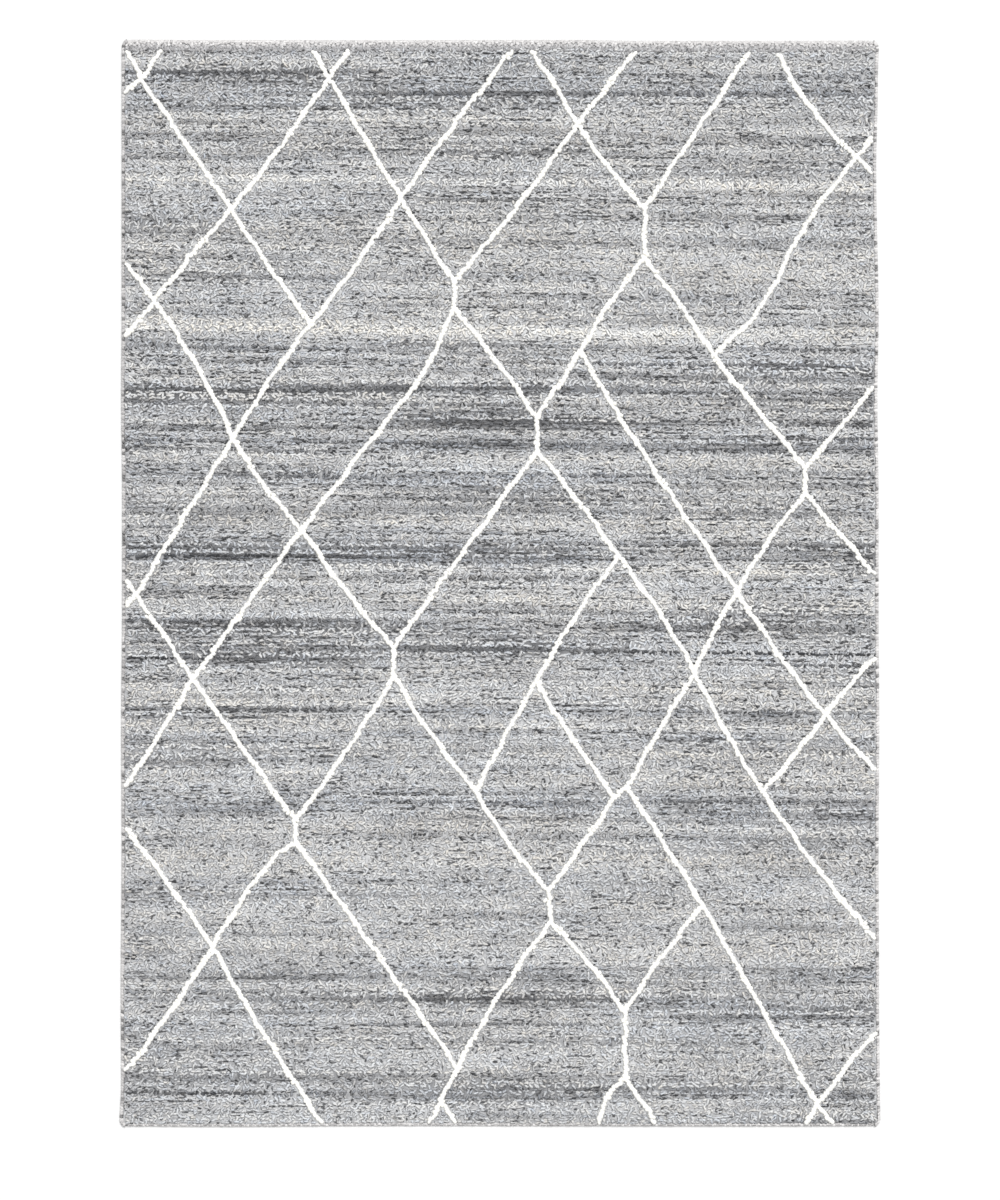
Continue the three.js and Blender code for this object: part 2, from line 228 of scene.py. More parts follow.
# The bands that the dyed yarn makes, lighter above 0 and darker below, by the place along the rug
BANDS = {
    "along": (
        -1145, -1105, -1080, -1045, -1015, -985, -930, -890, -860, -825, -780, -750, -710, -670,
        -640, -590, -545, -520, -480, -445, -420, -385, -360, -330, -305, -275, -255, -225, -200,
        -180, -150, -110, -75, -30, -5, 30, 50, 75, 100, 130, 165, 200, 225, 265, 295, 330, 365,
        390, 410, 430, 455, 505, 535, 580, 610, 660, 710, 750, 780, 820, 850, 880, 905, 985, 1010,
        1060, 1075, 1105, 1140,
    ),
    "tone": (
        -1, 0, -2, -0.5, 1, -0.5, -1.5, -2, 0, -2.5, 1.5, 0, 0.5, 0,
        -1, 1.5, -0.5, 1, -2.5, -1.5, 1, -0.5, 1.5, -1.5, 2.5, -3, 1.5, 1, -0.5,
        -1.5, -1.5, -2, -1, 1.5, -1, 1.5, -3, -2, -0.5, 2, -1, -1, -2, 2, -3.5, -1, -2,
        1, -2, 1, -1, -1, 3, 0.5, -0.5, 1.5, 1, 0, -1, -0.5, 2, -0.5, -1, 1, -1.5,
        -2.5, -2, 0.5, 0,
    ),
}

# The clearest streaks of lighter and darker yarn, each with its place along the rug, how far across
# it starts and stops, its thickness and its tone
STREAKS = (
    (-1125, 450, 600, 8, -2.5), (-1090, 700, 800, 12, -3), (-1085, -400, -250, 9, -3),
    (-1080, -800, -500, 9, -3), (-1060, -400, -250, 10, -2), (-985, -700, -350, 9, -2.5),
    (-965, -800, -50, 9, 2), (-955, -400, -200, 8, -2), (-930, 400, 550, 9, -3),
    (-905, -450, -200, 20, -1.5), (-895, 300, 400, 12, -2.5), (-890, 100, 200, 12, -2.5),
    (-875, -150, 100, 12, -2), (-835, 550, 800, 16, -3), (-825, -550, -400, 16, -3),
    (-825, -800, -600, 14, -2), (-755, -300, -100, 12, -2), (-750, -600, -300, 9, -2),
    (-720, 450, 700, 14, -2), (-645, 400, 700, 9, -2), (-640, -550, 0, 9, -2),
    (-640, 200, 400, 10, -2), (-545, 400, 800, 8, -1.5), (-540, -450, -100, 9, -2.5),
    (-540, 50, 400, 8, -2), (-490, -700, -500, 16, -2.5), (-475, 350, 550, 9, -2),
    (-475, 100, 200, 9, -2), (-445, 0, 200, 9, -3.5), (-390, -750, -550, 8, -3),
    (-330, 150, 800, 8, -2.5), (-330, -550, 0, 8, -2), (-280, 150, 650, 14, -2),
    (-275, -300, 0, 12, -2.5), (-275, -600, -300, 16, -2.5), (-255, -800, 800, 7, 2),
    (-245, -550, -300, 8, -2.5), (-205, -500, -300, 8, -2), (-180, -600, 250, 9, -3.5),
    (-145, 200, 400, 8, -3), (-140, -200, 50, 9, -2.5), (-115, -800, -300, 12, -1.5),
    (-110, -250, 100, 10, -2.5), (-80, -800, -350, 9, -3.5), (-80, 600, 800, 9, -3),
    (-40, -750, -200, 8, -2.5), (-5, -800, -650, 12, -3.5), (15, -500, 300, 8, -2.5),
    (30, -400, 800, 8, 2.5), (50, -700, 200, 14, -2.5), (70, 550, 700, 9, -3),
    (70, 250, 450, 9, -3), (70, -350, 150, 9, -2), (75, -800, -500, 9, -2),
    (110, -400, 0, 7, -2.5), (165, -400, 150, 8, -3), (165, 700, 800, 9, -2.5),
    (205, -800, -600, 9, -2.5), (225, 200, 800, 8, -2), (225, -500, -50, 12, -2),
    (290, 700, 800, 10, -2.5), (290, 350, 600, 12, -2), (290, 100, 250, 12, -3),
    (295, -250, 50, 16, -3), (295, -800, -500, 16, -2.5), (355, 300, 700, 8, -2),
    (355, -200, 200, 10, -2.5), (355, -800, -500, 16, -2.5), (410, 550, 750, 12, -3),
    (410, 250, 450, 14, -3.5), (400, -150, 0, 9, -3), (410, -450, -150, 14, -3.5),
    (440, 250, 800, 8, -2), (465, -600, -400, 8, -2), (500, 500, 800, 12, -2.5),
    (505, -800, -500, 10, -2.5), (535, -800, 600, 18, 3), (560, 650, 800, 8, -2.5),
    (565, 250, 400, 9, -2), (610, -600, 500, 8, -2), (775, 50, 700, 10, -1.5),
    (775, -500, 0, 10, -2), (850, -800, 800, 14, 3), (895, 400, 750, 12, -2.5),
    (905, -800, -250, 10, -2), (970, -750, -300, 9, -2.5), (1015, -450, -200, 10, -1.5),
    (1045, 550, 800, 10, -2), (1060, -300, 250, 12, -2.5), (1065, -750, -400, 12, -2.5),
)

# How far a charted streak takes to fade in and out
STREAK_FADE = 90

# Noise in layers: each one's strength, its cells across and along the rug, and its seed
THIN_STREAKS = ((1.45, 700, 14, 13), (2.45, 620, 9, 15), (1.6, 420, 6, 14))
BLOTCHES = ((1.1, 34, 16, 20), (0.6, 110, 34, 25))
WARMTH_NOISE = ((2.4, 480, 36, 19), (2.6, 80, 13, 18))
ROW_NOISE = (160, 90, 21)
ROW_WANDER = 2.2
BAND_WARMTH = 1.1
LOOP_WARMTH = 2.4
BAND_STRENGTH = 0.68
BAND_FADING = 0.2

# Noise that parts the rows: each layer's strength, how fast it changes by the row, its cells
# across the rug, and its seed
PARTING_NOISE = ((1, 7.0, 190, 22), (0.7, 5.0, 34, 23), (0.6, 3.0, 11, 24))

# How strong dark and light streaks are, what makes up for the difference, and above which tone
# light streaks are held back
DARK_STREAKS = 1.45
LIGHT_STREAKS = 0.42
STREAK_SHIFT = 0.75
LIGHTEST_STREAK = 1.6

# How strongly the rows differ from each other, by the place along the rug
STREAKINESS = {
    "along": (-1100, -950, -700, -450, -200, 50, 200, 400, 650, 900, 1100),
    "strength": (0.8, 0.9, 0.7, 0.9, 1.4, 1.5, 1.2, 1.5, 1, 1.1, 0.9),
}

# How far the rows and bands drop from the left side to the right, and how far their middle bows up
ROW_DRIFT = {
    "along": (-1150, -1000, -870, -740, -610, -360, -230, 20, 150, 400, 530, 780, 910, 1040, 1150),
    "drop": (0, 5, 2, 6, 13, 10, 12, 12, 16, 17, 22, 19, 14, 2, 0),
    "bow": (0, 0, 1, 4, 5, 6, 4, 2, -1, 0, 0, 1, 3, 1, 0),
}

# The grey yarn's tones, with the level of green in sRGB and how much more red and blue each has
GREYS = {
    "tone": (-18, -10, -5, 0, 4, 8),
    "green": (51, 118, 160, 201, 226, 239),
    "red": (-0.5, -0.5, -0.6, -0.6, -0.1, 0.2),
    "blue": (2.4, 2.2, 1.8, 1.0, -1.4, -2.8),
}

# The other yarns' tones and their sRGB colours
IVORIES = ((-6, (232, 229, 220)), (0, (252, 251, 246)), (4, (254, 253, 250)))
OVERCASTS = ((-10, (105, 104, 104)), (-4, (174, 172, 172)), (0, (224, 222, 221)), (4, (243, 241, 240)))

# The yarn's finish: its twist, the fineness of its dyed fibres and its fuzz, and the fuzz's tones
YARN_TWIST = 0.09
HEATHER_SCALE = 230
FIBRE_SCALE = 900
FIBRE_TONES = 4

# How much a warmth of 1 multiplies red and blue
WARM_TINT = (0.005, -0.0075)

# Between which values of the noise dark and light flecks fade in
FLECK_LIMITS = ((0.43, 0.36), (0.6, 0.72))

# The floor, in metres, and the soft light on it
FLOOR_HALF_SIZE = 40
FLOOR_COLOUR = (229, 229, 229)
WORLD_STRENGTH = 0.62
SUN_STRENGTH = 2.62
SUN_SPREAD = 30
SUN_FROM = (0.2, 0.5, 1.0)

# The camera, straight above at the photograph's framing
PHOTO_HEIGHT = 1200
PHOTO_MM_PER_PIXEL = 2.116
CAMERA_LENS = 100
CAMERA_SENSOR = 36
CAMERA_PLACE = (1.7, -33.2)


# Noise and tables


def eased(share):
    return share * share * (3 - 2 * share)


def eased_value(table, place_column, places, column):
    """Values of a column at these places, eased between the table's rows."""
    rows, values = np.array(table[place_column], float), np.array(table[column], float)
    after = np.clip(np.searchsorted(rows, places), 1, len(rows) - 1)
    share = np.clip((places - rows[after - 1]) / (rows[after] - rows[after - 1]), 0, 1)
    return values[after - 1] + (values[after] - values[after - 1]) * eased(share)


def noise(x, y, cell_x, cell_y, seed):
    """Smooth noise from -1 to 1 over the rug, with cells of that size."""
    size = 512
    table = np.random.default_rng(seed).uniform(-1, 1, (size, size))
    across, along = x / cell_x + size / 2, y / cell_y + size / 2
    column, row = np.floor(across).astype(int), np.floor(along).astype(int)
    right, up = eased(across - column), eased(along - row)
    column, row = column % size, row % size
    next_column, next_row = (column + 1) % size, (row + 1) % size
    near = table[row, column] * (1 - right) + table[row, next_column] * right
    far = table[next_row, column] * (1 - right) + table[next_row, next_column] * right
    return near * (1 - up) + far * up


# The plan of the rug


def strayed(x, y):
    """Places on the straight-sided plan, moved to where the uneven rug has them."""
    left = eased_value(SIDE_STRAYS, "along", y, "left")
    right = eased_value(SIDE_STRAYS, "along", y, "right")
    far = eased_value(END_STRAYS, "across", x, "far")
    near = eased_value(END_STRAYS, "across", x, "near")
    side = np.where(x < 0, left, right)
    end = np.where(y < 0, near, far)
    return x * (1 + side / (RUG_WIDTH / 2)), y * (1 + end / HALF_LENGTH)


def pile_top(x, y):
    """Height of the pile's top at places on the straight-sided plan."""
    side = np.interp(PANEL_HALF_WIDTH - np.abs(x), SIDE_PROFILE["inside"], SIDE_PROFILE["up"])
    far = np.interp(HALF_LENGTH - y, FAR_PROFILE["inside"], FAR_PROFILE["up"])
    near = np.interp(HALF_LENGTH + y, NEAR_PROFILE["inside"], NEAR_PROFILE["up"])
    return np.minimum(side, np.minimum(far, near))


def drift(x, y):
    """How far a row or band at this place lies above where it would run straight across."""
    share = x / PANEL_HALF_WIDTH
    drop = eased_value(ROW_DRIFT, "along", y, "drop")
    bow = eased_value(ROW_DRIFT, "along", y, "bow")
    return bow * (1 - share**2) - drop * share / 2


def clearest_streaks(x, row):
    """Tone that the charted streaks add at each place."""
    tone = np.zeros(x.shape)
    for place, (along, left, right, thickness, change) in enumerate(STREAKS):
        inside = np.clip(np.minimum(x - left, right - x) / STREAK_FADE + 0.5, 0, 1)
        near = np.exp(-(((row - along) / (0.6 * thickness)) ** 2))
        uneven = 1 + 0.5 * noise(x, along, 110, 1, 70 + place)
        tone += change * eased(inside) * near * uneven
    return tone


def thin_streaks(x, row, length, thickness, seed):
    """Noise in long thin streaks, with little in it that is wider than they are."""
    here = noise(x, row, length, thickness, seed)
    return here - 0.7 * noise(x, row + thickness, length, thickness, seed)


def streakiness(row):
    return eased_value(STREAKINESS, "along", row, "strength")


def band_tone(x, y):
    """Tone of the grey yarn's bands, which fade in and out across the rug."""
    row = y - drift(x, y)
    fading = 1 + BAND_FADING * noise(x, row, 600, 60, 11)
    bands = eased_value(BANDS, "along", row + 3 * noise(x, row, 300, 400, 12), "tone")
    strength = np.clip(1.2 - 0.35 * bands, 0.5, 2)
    streaks = sum(amount * thin_streaks(x, row, *cells) for amount, *cells in THIN_STREAKS)
    dark, light = np.minimum(streaks, 0), np.maximum(streaks, 0)
    streaks = DARK_STREAKS * dark + LIGHT_STREAKS * light + STREAK_SHIFT
    streaks *= strength * streakiness(row)
    streaks = np.minimum(streaks, LIGHTEST_STREAK + 0.3 * (streaks - LIGHTEST_STREAK))
    blotches = sum(amount * noise(x, row, *cells) for amount, *cells in BLOTCHES)
    return BAND_STRENGTH * bands * fading + streaks + blotches + clearest_streaks(x, row)


# Meshes


def new_object(name, data):
    made = bpy.data.objects.new(name, data)
    bpy.context.scene.collection.objects.link(made)
    return made


def make_object(name, points, face_groups, material, values=None, smooth=True):
    """An object from points in millimetres and groups of faces, each group an array with a row a face.

    values are numbers for each point, by the name under which the material reads them.
    """
    mesh = bpy.data.meshes.new(name)
    corners = np.concatenate([faces.ravel() for faces in face_groups])
    sizes = np.concatenate([np.full(len(faces), faces.shape[1]) for faces in face_groups])
    starts = np.concatenate([[0], np.cumsum(sizes)[:-1]])
    mesh.vertices.add(len(points))
    mesh.vertices.foreach_set("co", (points * MM).astype(np.float32).ravel())
    mesh.loops.add(len(corners))
    mesh.loops.foreach_set("vertex_index", corners.astype(np.int32))
    mesh.polygons.add(len(sizes))
    mesh.polygons.foreach_set("loop_start", starts.astype(np.int32))
    mesh.update(calc_edges=True)
    for key, numbers in (values or {}).items():
        attribute = mesh.attributes.new(key, "FLOAT", "POINT")
        attribute.data.foreach_set("value", numbers.astype(np.float32).ravel())
    mesh.polygons.foreach_set("use_smooth", np.full(len(sizes), smooth))
    mesh.materials.append(material)
    return new_object(name, mesh)


def map_from_above(made):
    """Gives a mesh a flat map, named OFBake, from above: its plan, scaled to fill the map."""
    mesh = made.data
    corners = np.empty(len(mesh.loops), np.int32)
    mesh.loops.foreach_get("vertex_index", corners)
    places = np.empty(len(mesh.vertices) * 3, np.float32)
    mesh.vertices.foreach_get("co", places)
    plan = places.reshape(-1, 3)[corners, :2]
    low, high = plan.min(0), plan.max(0)
    layer = mesh.uv_layers.new(name="OFBake")
    layer.data.foreach_set("uv", ((plan - low) / (high - low)).astype(np.float32).ravel())


# Closed tubes with a low section, seen in the order right, top, left. Across runs from 1 at
# the right edge to -1 at the left.
THREE_SIDED = ((1, -0.7), (0, 1), (-1, -0.7))
FIVE_SIDED = ((0.62, -1), (1, -0.1), (0, 1), (-1, -0.1), (-0.62, -1))
EIGHT_SIDED = ((0.7, -0.7), (1, 0), (0.7, 0.7), (0, 1), (-0.7, 0.7), (-1, 0), (-0.7, -0.7), (0, -1))


def sides_and_ups(paths):
    """For each step of paths of (tube, step, 3), what lies to its right and what lies above it."""
    ahead = np.gradient(paths, axis=1)
    flat = ahead[:, :, :2] / np.maximum(np.linalg.norm(ahead[:, :, :2], axis=2, keepdims=True), 1e-9)
    side = np.stack([flat[:, :, 1], -flat[:, :, 0], np.zeros(paths.shape[:2])], axis=2)
    up = np.cross(side, ahead)
    return side, up / np.maximum(np.linalg.norm(up, axis=2, keepdims=True), 1e-9)


def ring_points(paths, side, up, half_widths, half_heights, section):
    """Points of (tube, step, round, 3) round the paths."""
    across, height = np.array(section, float).T
    return (
        paths[:, :, None]
        + side[:, :, None] * (half_widths[:, :, None] * across)[..., None]
        + up[:, :, None] * (half_heights[:, :, None] * height)[..., None]
    )


def lengths_along(paths):
    lengths = np.linalg.norm(np.diff(paths, axis=1), axis=2)
    return np.concatenate([np.zeros((len(paths), 1)), np.cumsum(lengths, axis=1)], axis=1)


def walls(first, rings, rounds):
    """Quads between the rings of tubes whose rings start at these points."""
    here, there = np.arange(rounds), (np.arange(rounds) + 1) % rounds
    ring = first[:, None, None] + np.arange(rings - 1)[None, :, None] * rounds
    return np.stack([ring + here, ring + rounds + here, ring + rounds + there, ring + there], axis=3)


def tubes(paths, half_widths, half_heights, section, frames=None):
    """Closed tubes along paths of (tube, step, 3), with flat ends.

    Gives points, groups of faces, and for each point how far across and along its tube it is.
    """
    count, steps = paths.shape[:2]
    side, up = frames or sides_and_ups(paths)
    rounds = len(section)
    points = ring_points(paths, side, up, half_widths, half_heights, section)
    first = np.arange(count) * steps * rounds
    start_caps = first[:, None] + np.arange(rounds)
    end_caps = first[:, None] + (steps - 1) * rounds + np.arange(rounds)[::-1]
    across = np.broadcast_to(np.array(section, float)[:, 0], (count, steps, rounds))
    return (
        points.reshape(-1, 3),
        [walls(first, steps, rounds).reshape(-1, 4), np.concatenate([start_caps, end_caps])],
        across.ravel(),
        np.repeat(lengths_along(paths).ravel(), rounds),
    )


def loops_of_yarn(paths, half_widths, half_heights, section=THREE_SIDED):
    """Closed low loops along paths of (loop, step, 3), pointed at both ends. Gives what tubes gives."""
    count, steps = paths.shape[:2]
    side, up = sides_and_ups(paths)
    middle = slice(1, steps - 1)
    rounds = len(section)
    rings = ring_points(
        paths[:, middle], side[:, middle], up[:, middle],
        half_widths[:, middle], half_heights[:, middle], section,
    ).reshape(count, -1, 3)
    points = np.concatenate([paths[:, :1], rings, paths[:, -1:]], axis=1)
    per_loop = points.shape[1]
    start = np.arange(count) * per_loop
    end = start + per_loop - 1
    here, there = np.arange(rounds), (np.arange(rounds) + 1) % rounds
    first, last = start[:, None] + 1, end[:, None] - rounds
    start_tips = np.stack([first + here, first + there, np.repeat(start[:, None], rounds, 1)], axis=2)
    end_tips = np.stack([last + there, last + here, np.repeat(end[:, None], rounds, 1)], axis=2)
    across = np.concatenate([[0], np.tile(np.array(section, float)[:, 0], steps - 2), [0]])
    step = np.concatenate([[0], np.repeat(np.arange(1, steps - 1), rounds), [steps - 1]])
    return (
        points.reshape(-1, 3),
        [
            walls(start + 1, steps - 2, rounds).reshape(-1, 4),
            np.concatenate([start_tips, end_tips]).reshape(-1, 3),
        ],
        np.tile(across, count),
        lengths_along(paths)[:, step].ravel(),
    )


def yarn_object(name, material, random, shape, tone, **others):
    """An object of yarn from what tubes gives. tone and the others hold one number a tube."""
    points, faces, across, along = shape
    count = len(tone)
    each = len(across) // count
    values = {
        "across": across,
        "along": along + np.repeat(random.uniform(0, 90, count), each),
        "tone": np.repeat(tone, each),
        "seed": np.repeat(random.uniform(0, 100, count), each),
        **{key: np.repeat(numbers, each) for key, numbers in others.items()},
    }
    return make_object(name, points, faces, material, values)


def within_sides(plan):
    """Keeps plan paths clear of the bindings."""
    reach = PANEL_HALF_WIDTH - EDGE_MARGIN
    plan[:, :, 0] = np.clip(plan[:, :, 0], -reach, reach)


def arcs(x, y, heading, turn, length):
    """Plan paths of (arc, step, 2) that turn by an angle round their middle."""
    share = np.array(LOOP_SHARES)[None, :]
    turn = np.where(np.abs(turn) < 0.05, 0.05, turn)[:, None]
    reach = length[:, None] / turn
    facing = heading[:, None] + turn * share
    across = x[:, None] + reach * (np.sin(facing) - np.sin(heading[:, None]))
    along = y[:, None] - reach * (np.cos(facing) - np.cos(heading[:, None]))
    return np.stack([across, along], axis=2)


def yarn_loops(plan, width, half_height, top, section=THREE_SIDED):
    """Loops with lower tips along plan paths, as the uneven rug has them. Gives what tubes gives."""
    half_width = np.repeat(width[:, None] / 2, len(LOOP_SHARES), 1)
    x, y = strayed(plan[:, :, 0], plan[:, :, 1])
    paths = np.stack([x, y, top - half_height - TIP_DROPS], axis=2)
    return loops_of_yarn(paths, half_width, np.full(half_width.shape, half_height), section)


# The ivory lattice


def stretch(start, end, spacing):
    """Points on one stretch of a line, its end left out."""
    first, last = np.array(PLACES[start], float), np.array(PLACES[end], float)
    pull = (first + last) / 2 + np.array((2 * BOWS.get(f"{start} {end}", 0), 0))
    count = max(1, round(float(np.linalg.norm(last - first)) / spacing))
    share = (np.arange(count) / count)[:, None]
    return first * (1 - share) ** 2 + 2 * pull * share * (1 - share) + last * share**2


def line_points(line, spacing):
    """Points along one ivory line with its sway, and the heading at each."""
    names = line.split()
    parts = [stretch(a, b, spacing) for a, b in zip(names, names[1:])]
    middle = np.concatenate([*parts, [PLACES[names[-1]]]]).astype(float)
    heading = np.gradient(middle, axis=0)
    heading /= np.linalg.norm(heading, axis=1, keepdims=True)
    wave = np.sin(2 * np.pi * middle[:, 1] / LINE_WOBBLE_LENGTH + middle[0, 0])
    wave[[0, -1]] = 0
    sway = (LINE_WOBBLE * wave)[:, None] * np.stack([-heading[:, 1], heading[:, 0]], axis=1)
    return middle + sway - (0, LINE_LEAN), heading


def lattice():
    """Closely spaced points of all ivory lines with their headings, and a tree to find the nearest."""
    found = [line_points(line, 3) for line in LINES]
    points = np.concatenate([points for points, _ in found])
    headings = np.concatenate([headings for _, headings in found])
    tree = KDTree(len(points))
    for index, (x, y) in enumerate(points):
        tree.insert((x, y, 0), index)
    tree.balance()
    return points, headings, tree


def nearest(tree, x, y):
    """Index of the nearest lattice point to each place, and its distance."""
    found = [tree.find((a, b, 0))[1:] for a, b in zip(x.ravel(), y.ravel())]
    index = np.array([f[0] for f in found]).reshape(x.shape)
    distance = np.array([f[1] for f in found]).reshape(x.shape)
    return index, distance


def ivory_lines(material):
    """The lines as chains of plump tufts that lie to the left and right in turn."""
    random = np.random.default_rng(31)
    found = []
    for line in LINES:
        points, headings = line_points(line, TUFT_PITCH)
        under = points[-1, 0] > points[0, 0]
        in_turn = np.where(np.arange(len(points)) % 2, 1.0, -1.0)
        in_turn[[0, -1]] = 0
        drop = np.full(len(points), LINE_UNDER_DROP * under)
        found.append([*points.T, np.arctan2(headings[:, 1], headings[:, 0]), drop, in_turn])
    x, y, heading, drop, lean = np.concatenate(found, axis=1)
    count = len(x)
    offset = TUFT_OFFSET * lean + random.normal(0, 1.4, count)
    x, y = x - np.sin(heading) * offset, y + np.cos(heading) * offset
    heading += TUFT_TWIST * lean + random.normal(0, 0.25, count)
    length = random.uniform(*TUFT_LENGTH, count)
    plan = arcs(x, y, heading, random.uniform(-0.6, 0.6, count), length)
    width = random.uniform(*TUFT_WIDTH, count)
    top = np.minimum(pile_top(x, y), PILE_HEIGHT) + (LINE_TOP - PILE_HEIGHT) - drop
    top += random.uniform(-0.4, 0.3, count)
    shape = yarn_loops(plan, width, TUFT_HALF_HEIGHT, top[:, None], FIVE_SIDED)
    return yarn_object("ivory_lines", material, random, shape, random.normal(0, 1, count))


# The looped pile


ROWS = np.arange(-HALF_LENGTH + NEAR_STRIP, HALF_LENGTH - FAR_STRIP + 2, ROW_PITCH)


def wander(x, y):
    """How far the rows lie from straight."""
    return drift(x, y) + ROW_WANDER * noise(x, y, *ROW_NOISE)


def parting(x, row):
    """How far the pile parts above a row, from 0 to 1. Dark bands part more often."""
    y = ROWS[0] + (row + 0.5) * ROW_PITCH
    often = -0.16 - 0.1 * eased_value(BANDS, "along", y, "tone") + 0.35 * (streakiness(y) - 1)
    ripple = sum(
        amount * noise(x, row * speed, cell, 1, seed) for amount, speed, cell, seed in PARTING_NOISE
    )
    return np.clip((ripple - 0.56 + often) * 2, 0, 1)


def partings(material):
    """Short dark knots of yarn, low in the pile, where its rows part: painted shade of the gap."""
    random = np.random.default_rng(24)
    along_row = np.arange(-PANEL_HALF_WIDTH + 8, PANEL_HALF_WIDTH - 8, KNOT_PITCH)
    x, row = np.meshgrid(along_row, np.arange(len(ROWS) - 1))
    strength = parting(x, row)
    chosen = (strength > 0.2) & (random.uniform(0, 1, x.shape) > MISSED_KNOTS)
    x, row, strength = x[chosen], row[chosen], strength[chosen]
    count = len(x)
    x = x + random.uniform(-0.5, 0.5, count) * KNOT_PITCH
    y = ROWS[row] + ROW_PITCH / 2 + random.uniform(-1.3, 1.3, count)
    y += wander(x, y)
    heading, turn = random.normal(0, 0.25, count), random.uniform(-0.8, 0.8, count)
    plan = arcs(x, y, heading, turn, random.uniform(*KNOT_LENGTH, count))
    within_sides(plan)
    width = random.uniform(*KNOT_WIDTH, count) * (0.6 + 0.4 * strength)
    top = pile_top(plan[:, :, 0], plan[:, :, 1]) - random.uniform(-0.2, 1.0, (count, 1))
    shape = yarn_loops(plan, width, KNOT_HALF_HEIGHT, top)
    # The knots' dark tones are painted shade in the partings
    return yarn_object("pile_partings", material, random, shape, random.uniform(*KNOT_SHADE_TONE, count))


def loop_places(random):
    """Middles of the loops in loose rows, with each one's tone in its row and how whole the pile is."""
    per_row = int((2 * PANEL_HALF_WIDTH - 6) / LOOP_PITCH)
    across = (np.arange(per_row) + 0.5) / per_row * 2 - 1
    x = np.tile(across * (PANEL_HALF_WIDTH - 3), (len(ROWS), 1))
    x += random.uniform(-0.5, 0.5, (len(ROWS), 1)) * LOOP_PITCH
    x += random.uniform(-0.35, 0.35, x.shape) * LOOP_PITCH
    x = np.clip(x, -PANEL_HALF_WIDTH + 5, PANEL_HALF_WIDTH - 5)
    row = np.tile(np.arange(len(ROWS))[:, None], (1, per_row))
    below, above = parting(x, row - 1), parting(x, row)
    whole = 1 - np.maximum(below, above)
    y = ROWS[row] + random.uniform(-1, 1, x.shape) * ROW_JITTER * (0.3 + 0.7 * whole)
    y += (below - above) * PARTING_WIDTH / 2 * random.uniform(0.5, 1.5, x.shape)
    y += wander(x, y)
    row_tone = np.minimum(ROW_TONE * noise(x, row * 7.0, 520, 1, 17), MOST_ROW_TONE)
    row_tone = row_tone * streakiness(ROWS[row])
    return x.ravel(), y.ravel(), row_tone.ravel(), whole.ravel()


def beside_lines(x, y, length, points, headings, tree, random):
    """Draws loops back along their rows to where an ivory line cuts them. Some of them are left out."""
    index, distance = nearest(tree, x, y)
    line_heading = np.arctan2(headings[index, 1], headings[index, 0])
    slope = np.maximum(np.abs(np.sin(line_heading)), 0.5)
    gap = distance / slope
    edge = (LINE_WIDTH / 2 + LINE_CLEARANCE) / slope
    half = length / 2
    cut = gap < edge + half
    short = np.clip(gap - edge, 0.5 * half, half)
    side = np.where(x < points[index, 0], -1, 1)
    moved = side * (edge + 0.9 * short - gap)
    kept = (gap > edge - 2) | (random.uniform(0, 1, len(x)) < 0.4)
    return np.where(cut, x + moved, x), np.where(cut, 2 * short, length), kept


def loop_looks(random, x, y, row_tone, whole):
    """Each loop's tone, warmth, scale and lift. Flecks are the few dark and light loops. Loops beside a
    parting get painted shade.
    """
    count = len(x)
    bands = band_tone(x, y)
    row = y - drift(x, y)
    warmth = BAND_WARMTH * (eased_value(BANDS, "along", row, "tone") + 0.4)
    for amount, *cells in WARMTH_NOISE:
        warmth += amount * noise(x, row, *cells)
    warmth += random.normal(0, LOOP_WARMTH, count)
    # Loops beside a parting are painted up to a tone darker: painted shade of the gap
    tone = bands + row_tone + random.normal(0, LOOP_TONE_SPREAD, count) - 1.0 * (1 - whole)
    fleck = random.uniform(0, 1, count)
    dark_share, light_share = FLECKS["share"]
    by_edge = EDGE_FLECKS["right"] * (x > PANEL_HALF_WIDTH - EDGE_FLECKS_WIDTH)
    by_edge += EDGE_FLECKS["left"] * (x < -PANEL_HALF_WIDTH + EDGE_FLECKS_WIDTH)
    dark, light = fleck < dark_share + by_edge, fleck > 1 - light_share
    for chosen, change in zip((dark, light), FLECKS["tone"]):
        tone += change * chosen
    scale = 1 + sum((change - 1) * chosen for chosen, change in zip((dark, light), FLECKS["size"]))
    lift = sum(change * chosen for chosen, change in zip((dark, light), FLECKS["lift"]))
    return tone, warmth, scale, lift


def pile(material):
    """The grey loops, in a few joined meshes from the near end to the far one."""
    random = np.random.default_rng(7)
    x, y, row_tone, whole = loop_places(random)
    count = len(x)
    tone, warmth, scale, lift = loop_looks(random, x, y, row_tone, whole)
    loose = 0.25 + 0.75 * whole
    heading = random.normal(0, LOOP_SWING, count) * loose
    stray = random.uniform(0, 1, count) < STRAY_LOOPS * whole
    heading += stray * random.uniform(-np.pi / 2, np.pi / 2, count)
    turn = random.choice((-1, 1), count) * random.uniform(*LOOP_TURN, count) * loose
    points, headings, tree = lattice()
    length = random.uniform(*LOOP_LENGTH, count) * scale
    x, length, kept = beside_lines(x, y, length, points, headings, tree, random)
    kept &= random.uniform(0, 1, count) > MISSED_LOOPS
    plan = arcs(x, y, heading, turn, length)
    _, distance = nearest(tree, plan[:, 1:3, 0], plan[:, 1:3, 1])
    kept &= distance.min(axis=1) > 6
    plan, y, tone, warmth, scale, lift = (a[kept] for a in (plan, y, tone, warmth, scale, lift))
    count = len(y)
    within_sides(plan)
    plan[:, :, 1] = np.clip(plan[:, :, 1], -HALF_LENGTH + 4, HALF_LENGTH - 12)
    width = random.uniform(*LOOP_WIDTH, count) * scale
    top = pile_top(plan[:, :, 0], plan[:, :, 1]) + random.uniform(-0.6, 0.3, (count, 1))
    top += lift[:, None]
    made = [partings(material)]
    order = np.argsort(y, kind="stable")
    for name, part in zip(PILE_PIECES, np.array_split(order, len(PILE_PIECES))):
        shape = yarn_loops(plan[part], width[part], LOOP_THICKNESS / 2, top[part])
        made.append(yarn_object(name, material, random, shape, tone[part], warmth=warmth[part]))
    return made


